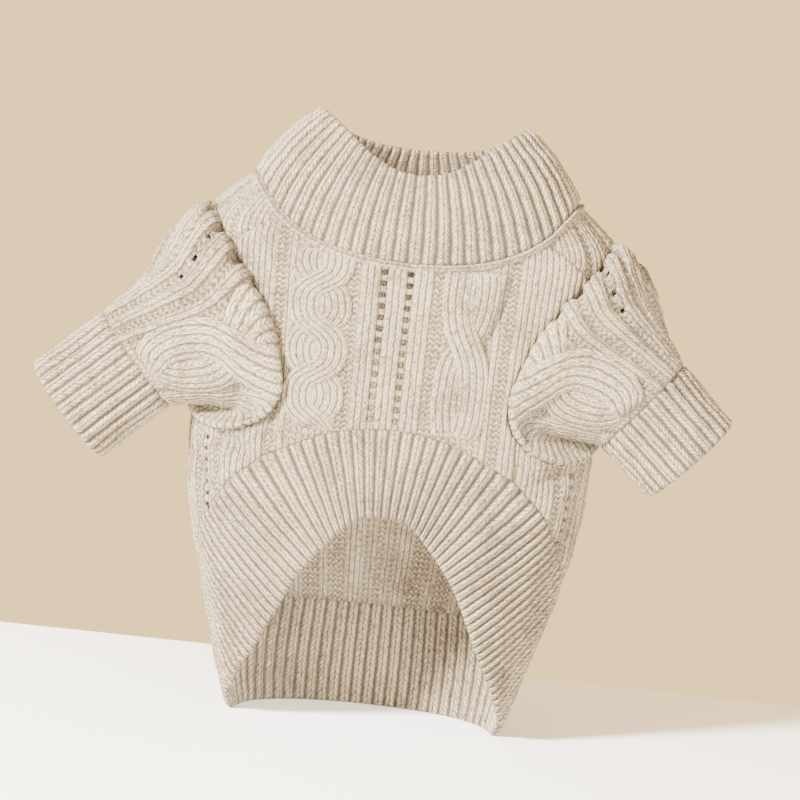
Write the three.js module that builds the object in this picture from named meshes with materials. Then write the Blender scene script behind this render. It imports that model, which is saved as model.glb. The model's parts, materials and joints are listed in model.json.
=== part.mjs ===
// A cable knit dog sweater that stands open on its hem, belly side to the front (-Y).
// Millimetres, +Z up. A turn is an angle round the torso from the middle of the belly,
// so 90 degrees is the wearer's side and 180 the middle of the back.
import * as THREE from "three";

const knit = 3; // thickness of one layer of knitting
const foldedKnit = 4.4; // the turtleneck, knitted double
const seamGap = 0.3;
const ribHigh = 0.9; // a rib's crown above its wall
const ribLow = -0.5; // the purl groove beside it
const cableHigh = 2.4;
const cablePeriod = 48; // two crossings of a cable
const frontMiddle = -5; // the belly's pattern sits a little to one side
const boxMiddle = [-6.6, 0.8]; // middle of the whole garment's box in X and Y
const degrees = Math.PI / 180;

const wool = new THREE.MeshStandardMaterial({ color: 0xd6cec0, roughness: 0.95, metalness: 0 });

// Torso sections. widestY is where the section is widest, front and back its depths from there.
const torsoColumns = ["height", "halfWidth", "front", "back", "widestY"];
const torsoRows = [
  [0, 66, 34, 50, -16],
  [20, 73, 38, 50, -14],
  [45, 80.5, 41, 50, -12],
  [75, 89.5, 43, 50, -9],
  [105, 97, 44, 49, -6],
  [135, 99.5, 45, 48, -4],
  [165, 100.5, 46, 47, -1],
  [200, 102, 46, 46, 2],
  [230, 104.5, 45, 44, 5],
  [243, 104, 44, 43, 6],
  [252, 99, 43, 42, 7],
  [260, 91, 42.5, 41.5, 7.5],
  [270, 79, 42, 41, 8],
];
const fullness = 0.12; // how much squarer than an ellipse a section is

// Curves on the torso, as turn in degrees and height. Half of each, from its middle to one side.
const archRows = [
  [0, 108], [6, 107], [10, 102.5], [14, 95.5], [19, 87], [25.5, 75],
  [33.5, 58], [42, 43], [52.5, 29.5], [63.5, 18.5], [70, 13.5], [74, 11.5],
];
const hemSide = 94; // the turn where the hem starts to rise towards the arch
const bandSeamRows = [
  [0, 151], [11.5, 149], [20.5, 144.5], [27, 139.5], [38.5, 131], [44.4, 124.5],
  [51.7, 116.5], [58.2, 108], [66, 98.5], [77, 87], [86.5, 70], [92, 51],
];
const sideSeamRow = 4; // the row of both curves where belly panel and back panel meet
const necklineRows = [
  [0, 232], [12, 233.5], [22, 237], [31, 243], [39, 249.5], [50, 258],
  [65, 265], [85, 268.5], [105, 267.5], [130, 262.5], [155, 258.5], [180, 257],
];
const necklineSideRow = 7;
// The armhole, all round: top, belly side, underarm, back side.
const armholeRows = [
  [80, 249], [68, 243], [59, 232], [48, 216], [39, 196], [34.5, 177], [34, 160], [42, 147],
  [56, 142.5], [70, 145], [82, 154], [90, 168], [94, 185], [95.5, 204], [94.5, 222], [90, 239],
];
const armhole = { shoulderSeam: 2, sideSeam: 6.5, backLow: 10, backHigh: 15 };

// Each rib of the belly band, counted from its middle: its share of the way along arch and seam.
const bandRibColumns = ["rib", "alongArch", "alongSeam"];
const bandRibRows = [
  [0, 0, 0], [4, 0.115, 0.152], [8, 0.22, 0.309], [13, 0.365, 0.528],
  [20, 0.59, 0.7], [27, 0.8, 0.86], [33, 1, 1],
];
const bandRibs = 33;
const bandRows = 6; // grid rows of both bands, which share their end seams
const backBandHeight = 52;
const backBandRibs = 36;

// Turtleneck rim: height against turn, on an oval of its own.
const rimRows = [
  [0, 275], [15, 277.5], [30, 284.5], [45, 293], [60, 299.5], [75, 303], [90, 303.5],
  [110, 300], [130, 295], [150, 291], [180, 289],
];
const rim = { halfWidth: 51, front: 39, back: 38, y: 8.5 };
const collarRibs = 62;
const collarBulge = 3;

// Sleeve rings. tilt is how far the sleeve points below the horizontal, and skew how much further
// out a ring's back is than its front, since it leaves the torso from the front and the side.
const ringColumns = ["along", "x", "y", "z", "halfWidth", "halfDepth", "tilt", "skew"];
const sleeves = {
  left: {
    side: -1,
    rings: [
      [0, 88, -22, 198, 51, 27, 14, 0.95],
      [0.25, 94, -23, 197, 49, 27, 20.5, 0.82],
      [0.5, 103.5, -23, 186.5, 37.5, 24.5, 27, 0.65],
      [0.75, 116.5, -23, 178.5, 30.8, 20.5, 34.5, 0.3],
      [1, 129.5, -22, 171, 26.8, 18.5, 41.5, 0],
    ],
    cuff: [
      [0, 129.5, -22, 171, 26.8, 18.5, 41.5, 0],
      [0.5, 145.5, -21.5, 156.3, 26.4, 18.6, 41.5, 0],
      [1, 161.5, -21, 141.5, 27.2, 19.4, 42, 0],
    ],
  },
  right: {
    side: 1,
    rings: [
      [0, 87, -22, 199, 50, 27, 14, 1],
      [0.25, 92, -23, 200, 47.5, 27, 20, 0.95],
      [0.5, 100.5, -23, 190.5, 38.5, 25, 25, 0.8],
      [0.75, 110.8, -23, 182.3, 32, 21, 31.5, 0.4],
      [1, 121.5, -22, 174.7, 26.9, 18.5, 39.5, 0],
    ],
    cuff: [
      [0, 121.5, -22, 174.7, 26.9, 18.5, 39.5, 0],
      [0.5, 135, -21.5, 162.3, 26, 18.3, 41.5, 0],
      [1, 148.8, -21, 149.6, 26.2, 18.8, 42.5, 0],
    ],
  },
};
const sleeveLift = 6; // how far a sleeve stands straight out of its armhole
const sleeveRise = 14; // how soon it does, in lifts per length of the sleeve
const sleeveBlend = [0.1, 0.46]; // where along the sleeve the armhole's outline turns oval
const cuffRibs = 28;

const clamp01 = (x) => Math.min(Math.max(x, 0), 1);
const ease = (x) => clamp01(x) ** 2 * (3 - 2 * clamp01(x));

// Hermite step between two values with their slopes.
function hermite(a, b, slopeA, slopeB, s) {
  const t = s * s;
  const c = t * s;
  return a * (2 * c - 3 * t + 1) + slopeA * (c - 2 * t + s) + b * (3 * t - 2 * c) + slopeB * (c - t);
}

// Reads a named column of a table at a key, smoothly between its rows.
function table(columns, rows) {
  return (key, name) => {
    const c = columns.indexOf(name);
    let i = 0;
    while (i < rows.length - 2 && key > rows[i + 1][0]) i++;
    const slope = (k) => {
      const before = rows[Math.max(k - 1, 0)];
      const after = rows[Math.min(k + 1, rows.length - 1)];
      return (after[c] - before[c]) / (after[0] - before[0]);
    };
    const step = rows[i + 1][0] - rows[i][0];
    const s = clamp01((key - rows[i][0]) / step);
    return hermite(rows[i][c], rows[i + 1][c], slope(i) * step, slope(i + 1) * step, s);
  };
}

// A smooth curve through rows of [turn, height] at a row number that may lie between rows.
// A closed curve says how far a lap of it turns round the torso.
function curve(rows, lap) {
  const n = rows.length;
  const closed = lap !== undefined;
  const row = (k) => {
    if (!closed) return rows[Math.min(Math.max(k, 0), n - 1)];
    const laps = Math.floor(k / n);
    const [turn, height] = rows[k - laps * n];
    return [turn + laps * lap, height];
  };
  return (place) => {
    const i = closed ? Math.floor(place) : Math.min(Math.max(Math.floor(place), 0), n - 2);
    const s = place - i;
    const [p, a, b, q] = [row(i - 1), row(i), row(i + 1), row(i + 2)];
    return [0, 1].map((c) => hermite(a[c], b[c], (b[c] - p[c]) / 2, (q[c] - a[c]) / 2, s));
  };
}

// Both sides of a curve that is given from its middle to one side.
const mirrored = (rows) => [...rows.slice(1).reverse().map(([t, h]) => [-t, h]), ...rows];

const sectionAt = table(torsoColumns, torsoRows);

function torso([turn, height]) {
  const sin = Math.sin(turn * degrees);
  const cos = Math.cos(turn * degrees);
  const depth = sectionAt(height, cos > 0 ? "front" : "back");
  return new THREE.Vector3(
    sectionAt(height, "halfWidth") * sin,
    sectionAt(height, "widestY") - depth * cos * (1 + fullness * sin * sin),
    height,
  );
}

// Outward direction. It is level at the hem, so that the hem stands flat.
const levelBelow = 12;
function torsoNormal([turn, height]) {
  const across = torso([turn + 0.5, height]).sub(torso([turn - 0.5, height]));
  const up = torso([turn, height + 0.5]).sub(torso([turn, height - 0.5]));
  const normal = across.cross(up).normalize();
  normal.z *= clamp01(height / levelBelow);
  return normal.normalize();
}

// Places on a curve at even steps of its length on the garment. Returns share -> place.
function evenly(pointAt, from, to) {
  const samples = 240;
  const lengths = [0];
  let last = pointAt(from);
  for (let k = 1; k <= samples; k++) {
    const next = pointAt(from + ((to - from) * k) / samples);
    lengths.push(lengths[k - 1] + next.distanceTo(last));
    last = next;
  }
  return (share) => {
    const wanted = clamp01(share) * lengths[samples];
    let k = 1;
    while (k < samples && lengths[k] < wanted) k++;
    const part = (wanted - lengths[k - 1]) / (lengths[k] - lengths[k - 1]);
    return from + ((to - from) * (k - 1 + part)) / samples;
  };
}

// A patch between four curves of [turn, height], each a function of its share.
function patch(left, right, bottom, top) {
  const corners = [bottom(0), bottom(1), top(0), top(1)];
  return (u, v) => {
    const sides = [left(v), right(v), bottom(u), top(u)];
    return [0, 1].map((c) => (
      (1 - u) * sides[0][c] + u * sides[1][c] + (1 - v) * sides[2][c] + v * sides[3][c]
      - (1 - u) * (1 - v) * corners[0][c] - u * (1 - v) * corners[1][c]
      - (1 - u) * v * corners[2][c] - u * v * corners[3][c]
    ));
  };
}

const mix = (a, b, s) => [0, 1].map((c) => a[c] + (b[c] - a[c]) * s);

// Boundary edges of a grid of cells, as steps from one grid point to the next, cells on the left.
function gridEdges(columns, rows, wrap, hole) {
  const steps = new Set();
  const name = (i, j) => (wrap ? i % columns : i) + " " + j;
  for (let j = 0; j < rows; j++) {
    for (let i = 0; i < columns; i++) {
      if (hole(i, j)) continue;
      const ring = [name(i, j), name(i + 1, j), name(i + 1, j + 1), name(i, j + 1)];
      ring.forEach((start, k) => {
        const end = ring[(k + 1) % 4];
        if (!steps.delete(end + "|" + start)) steps.add(start + "|" + end);
      });
    }
  }
  return new Map([...steps].map((step) => step.split("|")));
}

// A closed wall of cloth over a grid of cells. middle and normal give its middle layer, lift what
// its outer face is raised by, and every the columns and rows of one cell of its plain inside.
// seam tells, for the two grid points of an edge, whether a neighbour is sewn on there.
function wall(columns, rows, options) {
  const { middle, normal, lift, thickness, every } = options;
  const wrap = options.wrap ?? false;
  const hole = options.hole ?? (() => false);
  const seam = options.seam ?? (() => true);
  const next = gridEdges(columns, rows, wrap, hole);
  const before = new Map([...next].map(([a, b]) => [b, a]));
  const read = (key) => key.split(" ").map(Number);
  const pointAt = (key) => middle(...read(key));

  // The edge moves inwards by half a seam's gap, also at corners.
  function inset(key) {
    const here = pointAt(key);
    const up = normal(...read(key));
    const inward = (a, b) => up.clone().cross(pointAt(b).sub(pointAt(a))).normalize();
    const [one, two] = [inward(before.get(key), key), inward(key, next.get(key))];
    const margin = (a, b) => (seam(read(a), read(b)) ? seamGap / 2 : 0);
    const [d1, d2] = [margin(before.get(key), key), margin(key, next.get(key))];
    const c = one.dot(two);
    const straight = 1 - c * c < 0.05;
    const a = straight ? (d1 + d2) / 2 : (d1 - c * d2) / (1 - c * c);
    const b = straight ? 0 : (d2 - c * d1) / (1 - c * c);
    return here.addScaledVector(one, a).addScaledVector(two, b);
  }

  const positions = [];
  const index = [];
  const known = new Map();
  function vertex(key, outside) {
    const label = key + (outside ? " out" : " in");
    if (!known.has(label)) {
      const [i, j] = read(key);
      const at = next.has(key) ? inset(key) : pointAt(key);
      const half = thickness(i, j) / 2;
      at.addScaledVector(normal(i, j), outside ? half + lift(i, j) : -half);
      known.set(label, positions.length / 3);
      positions.push(...at.toArray());
    }
    return known.get(label);
  }
  const name = (i, j) => (wrap ? i % columns : i) + " " + j;
  function quads(wide, tall, make) {
    for (let j = 0; j < rows; j += tall) {
      for (let i = 0; i < columns; i += wide) {
        if (!hole(i, j)) make([[i, j], [i + wide, j], [i + wide, j + tall], [i, j + tall]]);
      }
    }
  }
  function outsideQuad(corners) {
    const [a, b, c, d] = corners.map(([i, j]) => vertex(name(i, j), true));
    index.push(a, b, c, a, c, d);
  }
  // A cell of the plain inside. Where a side of it is an edge of the cloth, it keeps every point.
  function insideCell(corners) {
    const around = [];
    corners.forEach(([i, j], k) => {
      const [toI, toJ] = corners[(k + 1) % 4];
      const steps = Math.max(Math.abs(toI - i), Math.abs(toJ - j));
      const points = [...Array(steps).keys()].map((s) => (
        name(i + ((toI - i) * s) / steps, j + ((toJ - j) * s) / steps)
      ));
      const isEdge = next.get(points[0]) === (points[1] ?? name(toI, toJ));
      around.push(...(isEdge ? points : points.slice(0, 1)));
    });
    const ids = around.map((key) => vertex(key, false));
    if (ids.length === 4) {
      index.push(ids[0], ids[2], ids[1], ids[0], ids[3], ids[2]);
      return;
    }
    const centre = vertex(name((corners[0][0] + corners[2][0]) / 2, (corners[0][1] + corners[2][1]) / 2), false);
    ids.forEach((id, k) => index.push(centre, ids[(k + 1) % ids.length], id));
  }
  quads(1, 1, outsideQuad);
  quads(every[0], every[1], insideCell);
  for (const [start, end] of next) {
    const [a, b] = [vertex(start, true), vertex(end, true)];
    const [c, d] = [vertex(start, false), vertex(end, false)];
    index.push(b, a, c, b, c, d);
  }
  const geometry = new THREE.BufferGeometry();
  geometry.setAttribute("position", new THREE.Float32BufferAttribute(positions, 3));
  geometry.setIndex(index);
  geometry.computeVertexNormals();
  return geometry;
}

// Memory for a function of two grid numbers that is asked often.
function remembered(work) {
  const known = new Map();
  return (i, j) => {
    const key = i * 1000 + j;
    if (!known.has(key)) known.set(key, work(i, j));
    return known.get(key).clone();
  };
}

// A wall that lies on the torso: place(i, j) gives turn and height.
function torsoWall(columns, rows, place, options) {
  return wall(columns, rows, {
    middle: remembered((i, j) => torso(place(i, j))),
    normal: remembered((i, j) => torsoNormal(place(i, j))),
    thickness: () => knit,
    ...options,
  });
}

const bump = (x) => Math.max(0, 1 - x * x);

// A rope cable: two strands that cross, d millimetres from its middle, at a height.
function cable(d, height, phase = 0) {
  const swing = 6 * Math.cos((2 * Math.PI * (height - phase)) / cablePeriod);
  return cableHigh * Math.max(bump((d - swing) / 6.5), bump((d + swing) / 6.5));
}

const arch = curve(mirrored(archRows));
const bandSeam = curve(mirrored(bandSeamRows));
const seamMiddle = bandSeamRows.length - 1;
const neckline = curve(
  [...necklineRows, ...necklineRows.slice(1, -1).reverse().map(([t, h]) => [360 - t, h])], 360,
);
const armholeCurve = curve(armholeRows, 0);
const sided = ([turn, height], side) => [turn * side, height];

// Length round the torso from the middle of the belly, or of the back, at a turn and height.
function arcFrom(middleTurn, [turn, height]) {
  const steps = 12;
  let length = 0;
  for (let k = 0; k < steps; k++) {
    const a = middleTurn + ((turn - middleTurn) * k) / steps;
    const b = middleTurn + ((turn - middleTurn) * (k + 1)) / steps;
    length += torso([a, height]).distanceTo(torso([b, height]));
  }
  return length * Math.sign(turn - middleTurn);
}

function bellyBand() {
  const ribAt = table(bandRibColumns, bandRibRows);
  const end = archRows.length - 1;
  const archPlace = evenly((s) => torso(arch(s)), end, 2 * end);
  const seamPlace = evenly((s) => torso(bandSeam(s)), seamMiddle, 2 * seamMiddle);
  const rows = bandRows;
  const columns = bandRibs * 4;
  const place = (i, j) => {
    const rib = (i - columns / 2) / 2;
    const low = arch(archPlace(ribAt(Math.abs(rib), "alongArch")));
    const high = bandSeam(seamPlace(ribAt(Math.abs(rib), "alongSeam")));
    return sided(mix(low, high, j / rows), Math.sign(rib) || 1);
  };
  return torsoWall(columns, rows, place, {
    lift: (i) => (i % 2 ? ribHigh : ribLow),
    every: [4, 2],
    seam: (a, b) => a[1] !== 0 || b[1] !== 0,
  });
}

// Height of the hem: on the floor all round the back, and up a little to meet the arch.
function hemHeight(turn) {
  const [hemEnd, endHeight] = archRows.at(-1);
  return endHeight * ease((hemSide - (180 - Math.abs(180 - turn))) / (hemSide - hemEnd));
}

function backBand() {
  const [hemEnd] = archRows.at(-1);
  const [topEnd, topEndHeight] = bandSeamRows.at(-1);
  const rows = bandRows;
  const columns = backBandRibs * 2;
  const hem = evenly((turn) => torso([turn, hemHeight(turn)]), hemEnd, 360 - hemEnd);
  const top = evenly((turn) => torso([turn, backBandHeight]), topEnd, 360 - topEnd);
  const place = (i, j) => {
    const [low, high] = [hem(i / columns), top(i / columns)];
    return mix([low, hemHeight(low)], [high, backBandTop(high, topEnd, topEndHeight)], j / rows);
  };
  return torsoWall(columns, rows, place, {
    lift: (i) => (i % 2 ? ribHigh : ribLow),
    every: [4, 2],
    seam: (a, b) => a[1] !== 0 || b[1] !== 0,
  });
}

// Height of the seam above the back band.
function backBandTop(turn, topEnd, topEndHeight) {
  return topEndHeight + (backBandHeight - topEndHeight) * ease((180 - Math.abs(180 - turn) - topEnd) / 40);
}

function frontPanel() {
  const columns = 44;
  const rows = 16;
  const sideEdge = (v, side) => {
    const seamTop = armholeCurve(armhole.sideSeam);
    const low = bandSeam(seamMiddle + sideSeamRow);
    const [lowShare, highShare] = [0.15, 0.8];
    if (v < lowShare) return sided(mix(low, seamTop, v / lowShare), side);
    if (v < highShare) {
      const share = (v - lowShare) / (highShare - lowShare);
      const place = armhole.sideSeam + (armhole.shoulderSeam - armhole.sideSeam) * share;
      return sided(armholeCurve(place), side);
    }
    const share = (v - highShare) / (1 - highShare);
    return sided(mix(armholeCurve(armhole.shoulderSeam), neckline(sideSeamRow), share), side);
  };
  const across = (u) => (2 * u - 1) * sideSeamRow;
  const panel = patch(
    (v) => sideEdge(v, -1),
    (v) => sideEdge(v, 1),
    (u) => bandSeam(seamMiddle + across(u)),
    (u) => neckline(across(u)),
  );
  const place = (i, j) => panel(i / columns, j / rows);
  const lift = (i, j) => {
    const at = place(i, j);
    const d = arcFrom(0, at) - frontMiddle;
    return j === 0 || j === rows ? 0 : Math.max(cable(d - 36, at[1], 12), cable(d + 36, at[1], 12));
  };
  return torsoWall(columns, rows, place, { lift, every: [4, 4] });
}

function backPanel() {
  const back = 44; // columns across the back, between the armholes
  const front = 16; // columns that wrap round to the belly, on each side
  const [low, middle, high] = [12, 8, 4]; // rows below, beside and above the armholes
  const columns = back + 2 * front;
  const rows = low + middle + high;
  const [topEnd, topEndHeight] = bandSeamRows.at(-1);
  const centreHeights = [backBandHeight, 152, 236, necklineRows.at(-1)[1]];
  const { backLow, backHigh, sideSeam, shoulderSeam } = armhole;
  const rowShare = (j) => (
    j <= low ? [0, j / low] : j <= low + middle ? [1, (j - low) / middle] : [2, (j - low - middle) / high]
  );
  const centre = (j) => {
    const [part, share] = rowShare(j);
    return [180, centreHeights[part] + (centreHeights[part + 1] - centreHeights[part]) * share];
  };
  // From the back band up to the armhole, along it, and on to the neckline.
  const besideArmhole = (j) => {
    const [part, share] = rowShare(j);
    if (part === 0) return mix([topEnd, topEndHeight], armholeCurve(backLow), share);
    if (part === 1) return armholeCurve(backLow + (backHigh - backLow) * share);
    return mix(armholeCurve(backHigh), neckline(necklineSideRow), share);
  };
  const evenTurns = evenly((s) => torso([180 - s * (180 - topEnd), 150]), 0, 1);
  const acrossBack = patch(
    (v) => centre(v * rows),
    (v) => besideArmhole(v * rows),
    (u) => [180 - u * (180 - topEnd), backBandTop(180 - u * (180 - topEnd), topEnd, topEndHeight)],
    (u) => neckline(necklineRows.length - 1 - u * (necklineRows.length - 1 - necklineSideRow)),
  );
  const underArmhole = patch(
    (v) => besideArmhole(v * low),
    (v) => mix(bandSeam(seamMiddle + sideSeamRow), armholeCurve(sideSeam), v),
    (u) => bandSeam(2 * seamMiddle - u * (seamMiddle - sideSeamRow)),
    (u) => armholeCurve(backLow - u * (backLow - sideSeam)),
  );
  const overArmhole = patch(
    (v) => besideArmhole(low + middle + v * high),
    (v) => mix(armholeCurve(shoulderSeam), neckline(sideSeamRow), v),
    (u) => armholeCurve(backHigh + u * (armholeRows.length + shoulderSeam - backHigh)),
    (u) => neckline(necklineSideRow - u * (necklineSideRow - sideSeamRow)),
  );
  const place = (i, j) => {
    const fromMiddle = Math.abs(i - columns / 2);
    let at;
    if (fromMiddle <= back / 2) {
      at = acrossBack(evenTurns(fromMiddle / (back / 2)), j / rows);
    } else if (j <= low) {
      at = underArmhole((fromMiddle - back / 2) / front, j / low);
    } else {
      at = overArmhole((fromMiddle - back / 2) / front, (j - low - middle) / high);
    }
    return i < columns / 2 ? at : [360 - at[0], at[1]];
  };
  const lift = (i, j) => {
    const at = place(i, j);
    const d = Math.abs(arcFrom(180, at));
    return j === 0 || j === rows ? 0 : cable(d - 38, at[1]);
  };
  const beyond = (i) => Math.abs(i + 0.5 - columns / 2) > back / 2;
  return torsoWall(columns, rows, place, {
    lift,
    every: [2, 4],
    hole: (i, j) => beyond(i) && j >= low && j < low + middle,
  });
}

const rimAt = table(["turn", "height"], rimRows);
function rimPoint(turn) {
  const round = 180 - Math.abs(180 - turn);
  const cos = Math.cos(turn * degrees);
  return new THREE.Vector3(
    rim.halfWidth * Math.sin(turn * degrees),
    rim.y - (cos > 0 ? rim.front : rim.back) * cos,
    rimAt(round, "height"),
  );
}

function collar() {
  const rows = 4;
  const columns = collarRibs * 2;
  const basePlace = evenly((s) => torso(neckline(s)), 0, 2 * (necklineRows.length - 1));
  const rimPlace = evenly(rimPoint, 0, 360);
  const point = (share, v) => {
    const from = torso(neckline(basePlace(share)));
    const to = rimPoint(rimPlace(share));
    const out = to.clone().sub(new THREE.Vector3(0, rim.y, to.z)).normalize();
    return from.lerp(to, v).addScaledVector(out, collarBulge * Math.sin(Math.PI * v));
  };
  const shareOf = (i) => (((i % columns) + columns) % columns) / columns;
  const step = 0.25 / columns;
  const ownNormal = (i, v) => {
    const across = point((shareOf(i) + step) % 1, v).sub(point((shareOf(i) - step + 1) % 1, v));
    const up = point(shareOf(i), Math.min(v + 0.02, 1)).sub(point(shareOf(i), Math.max(v - 0.02, 0)));
    return across.cross(up).normalize();
  };
  const normal = (i, j) => {
    const seamNormal = torsoNormal(neckline(basePlace(shareOf(i))));
    return ownNormal(i, j / rows).lerp(seamNormal, Math.max(0, 1 - j)).normalize();
  };
  return wall(columns, rows, {
    middle: remembered((i, j) => point(shareOf(i), j / rows)),
    normal: remembered(normal),
    lift: (i) => (i % 2 ? ribHigh : ribLow),
    thickness: (i, j) => (j === 0 ? knit : j === rows ? knit * 0.8 : foldedKnit),
    wrap: true,
    every: [4, 2],
    seam: (a) => a[1] === 0,
  });
}

// A ring round a sleeve's line. Share 0 is its top, 0.25 its front and 0.5 its underside.
function ringPoint(rings, side, share, along) {
  const at = table(ringColumns, rings);
  const tilt = at(along, "tilt") * degrees;
  const high = at(along, "halfWidth") * Math.cos(2 * Math.PI * share);
  const deep = at(along, "halfDepth") * Math.sin(2 * Math.PI * share);
  return new THREE.Vector3(
    side * (at(along, "x") + high * Math.sin(tilt) - deep * at(along, "skew")),
    at(along, "y") - deep,
    at(along, "z") + high * Math.cos(tilt),
  );
}

// Direction away from a ring's line, in the ring's own plane.
function ringNormal(rings, side, share, along) {
  const at = table(ringColumns, rings);
  const tilt = at(along, "tilt") * degrees;
  const high = at(along, "halfDepth") * Math.cos(2 * Math.PI * share);
  const deep = at(along, "halfWidth") * Math.sin(2 * Math.PI * share);
  return new THREE.Vector3(side * high * Math.sin(tilt), -deep, high * Math.cos(tilt)).normalize();
}

// The wall of a tube, from a point function of share round it and share along it. On the row
// where sleeve and cuff meet, both stand square to the same ring.
function tubeWall(columns, rows, side, rings, ringRow, point, options) {
  const normal = (i, j) => {
    const [share, v] = [i / columns, j / rows];
    if (j === ringRow) return ringNormal(rings, side, share, v);
    const across = point(share + 0.004, v).sub(point(share - 0.004, v));
    const up = point(share, Math.min(v + 0.01, 1)).sub(point(share, Math.max(v - 0.01, 0)));
    return across.cross(up).multiplyScalar(side).normalize();
  };
  return wall(columns, rows, {
    middle: remembered((i, j) => point(((side * i) / columns + 2) % 1, j / rows)),
    normal: remembered((i, j) => normal(side * i, j)),
    thickness: () => knit,
    wrap: true,
    ...options,
  });
}

function sleeve({ side, rings }) {
  const columns = 40;
  const rows = 12;
  const turns = armholeRows.length;
  const rootAt = (share) => {
    const place = share * turns;
    const at = sided(armholeCurve(place), side);
    const out = torsoNormal(at);
    const along = torso(sided(armholeCurve(place + 0.05), side))
      .sub(torso(sided(armholeCurve(place - 0.05), side)));
    const inward = out.clone().cross(along).multiplyScalar(side).normalize();
    return [torso(at).addScaledVector(inward, knit / 2 + 1.7 * seamGap), out];
  };
  const point = (share, v) => {
    const [root, out] = rootAt(share);
    root.addScaledVector(out, sleeveLift * (1 - Math.exp(-sleeveRise * v)) - knit / 2);
    const oval = ease((v - sleeveBlend[0]) / (sleeveBlend[1] - sleeveBlend[0]));
    return root.lerp(ringPoint(rings, side, share, v), oval);
  };
  const girth = 170;
  const lift = (i, j) => {
    if (j < 2 || j === rows) return 0;
    const share = i / columns;
    const fromTop = Math.min(share, 1 - share);
    const along = (j / rows) * 62;
    const ridges = Math.max(...[0.08, 0.16].map((at) => bump(((fromTop - at) * girth) / 4)));
    return Math.max(1.4 * ridges, cable((fromTop - 0.28) * girth, along, 10) * 0.9);
  };
  return tubeWall(columns, rows, side, rings, rows, point, {
    lift,
    every: [2, 4],
    seam: (a) => a[1] === rows,
  });
}

function cuff({ side, cuff: rings }) {
  const point = (share, v) => ringPoint(rings, side, share, v);
  return tubeWall(cuffRibs * 2, 4, side, rings, 0, point, {
    lift: (i) => (i % 2 ? ribHigh : ribLow),
    every: [4, 4],
    seam: (a) => a[1] === 0,
  });
}

const sweater = new THREE.Group();
sweater.name = "dog_sweater";
const pieces = {
  front_panel: frontPanel(),
  back_panel: backPanel(),
  belly_band: bellyBand(),
  back_band: backBand(),
  collar: collar(),
};
for (const [name, shape] of Object.entries(sleeves)) {
  pieces["sleeve_" + name] = sleeve(shape);
  pieces["cuff_" + name] = cuff(shape);
}
for (const [name, geometry] of Object.entries(pieces)) {
  const mesh = new THREE.Mesh(geometry, wool);
  mesh.name = name;
  mesh.position.set(-boxMiddle[0], -boxMiddle[1], 0);
  sweater.add(mesh);
}

export default sweater;
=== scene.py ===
# %% [markdown]
# # A cable knit dog sweater
# The sweater stands open on its hem with nobody in it. Each piece of knitting is made as its
# knitter makes it: a flat piece of stitches is laid on the garment's form, its wales and rows
# are raised in the mesh, and the fibres are left to the material. All sizes are in millimetres
# until a mesh is finished, when it is scaled to Blender's metres.

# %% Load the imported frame
import json
import math

import bmesh
import bpy
import numpy as np
from mathutils import Matrix, Vector
from mathutils.kdtree import KDTree

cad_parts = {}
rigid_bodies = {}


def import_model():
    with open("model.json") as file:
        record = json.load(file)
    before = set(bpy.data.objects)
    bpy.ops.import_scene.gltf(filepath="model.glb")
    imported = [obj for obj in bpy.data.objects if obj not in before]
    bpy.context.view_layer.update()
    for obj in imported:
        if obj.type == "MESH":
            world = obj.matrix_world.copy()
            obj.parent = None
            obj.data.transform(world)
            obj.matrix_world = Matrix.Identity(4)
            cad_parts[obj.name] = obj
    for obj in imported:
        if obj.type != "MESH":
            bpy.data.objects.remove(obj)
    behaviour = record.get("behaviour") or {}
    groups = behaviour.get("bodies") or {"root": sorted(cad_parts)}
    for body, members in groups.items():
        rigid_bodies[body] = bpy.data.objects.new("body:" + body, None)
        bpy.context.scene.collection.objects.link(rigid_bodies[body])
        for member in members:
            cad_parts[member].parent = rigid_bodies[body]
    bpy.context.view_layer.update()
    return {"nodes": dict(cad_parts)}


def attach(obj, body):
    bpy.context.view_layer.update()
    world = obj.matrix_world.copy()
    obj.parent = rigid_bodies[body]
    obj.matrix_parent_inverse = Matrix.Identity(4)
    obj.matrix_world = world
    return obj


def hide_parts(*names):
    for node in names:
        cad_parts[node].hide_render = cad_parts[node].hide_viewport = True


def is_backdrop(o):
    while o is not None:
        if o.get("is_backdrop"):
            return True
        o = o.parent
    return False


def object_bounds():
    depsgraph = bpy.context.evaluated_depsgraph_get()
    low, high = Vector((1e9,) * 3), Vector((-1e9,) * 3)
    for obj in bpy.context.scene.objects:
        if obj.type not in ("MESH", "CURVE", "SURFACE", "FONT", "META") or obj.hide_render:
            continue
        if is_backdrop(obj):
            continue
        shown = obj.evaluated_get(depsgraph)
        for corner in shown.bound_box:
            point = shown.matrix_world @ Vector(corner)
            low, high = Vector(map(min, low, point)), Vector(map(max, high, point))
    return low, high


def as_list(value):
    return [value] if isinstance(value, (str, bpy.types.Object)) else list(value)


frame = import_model()
print("CAD nodes:", sorted(frame["nodes"]))

# %% [markdown]
# ## Smooth tables and curves
# A few measured rows say where the cloth is, and everything between them is eased, as a tailor's
# curve joins marks on paper. A Hermite step needs only the values and slopes at its two ends,
# and NumPy works it out for a whole mesh at once, which is much faster than point by point.

# %% Read between the rows of a table or a curve
def hermite(a, b, slope_a, slope_b, s):
    """From a to b as s goes from 0 to 1, with a slope at each end."""
    squared, cubed = s * s, s * s * s
    return (a * (2 * cubed - 3 * squared + 1) + slope_a * (cubed - 2 * squared + s)
            + b * (3 * squared - 2 * cubed) + slope_b * (cubed - squared))


def ease(x):
    x = np.clip(x, 0, 1)
    return x * x * (3 - 2 * x)


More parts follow.
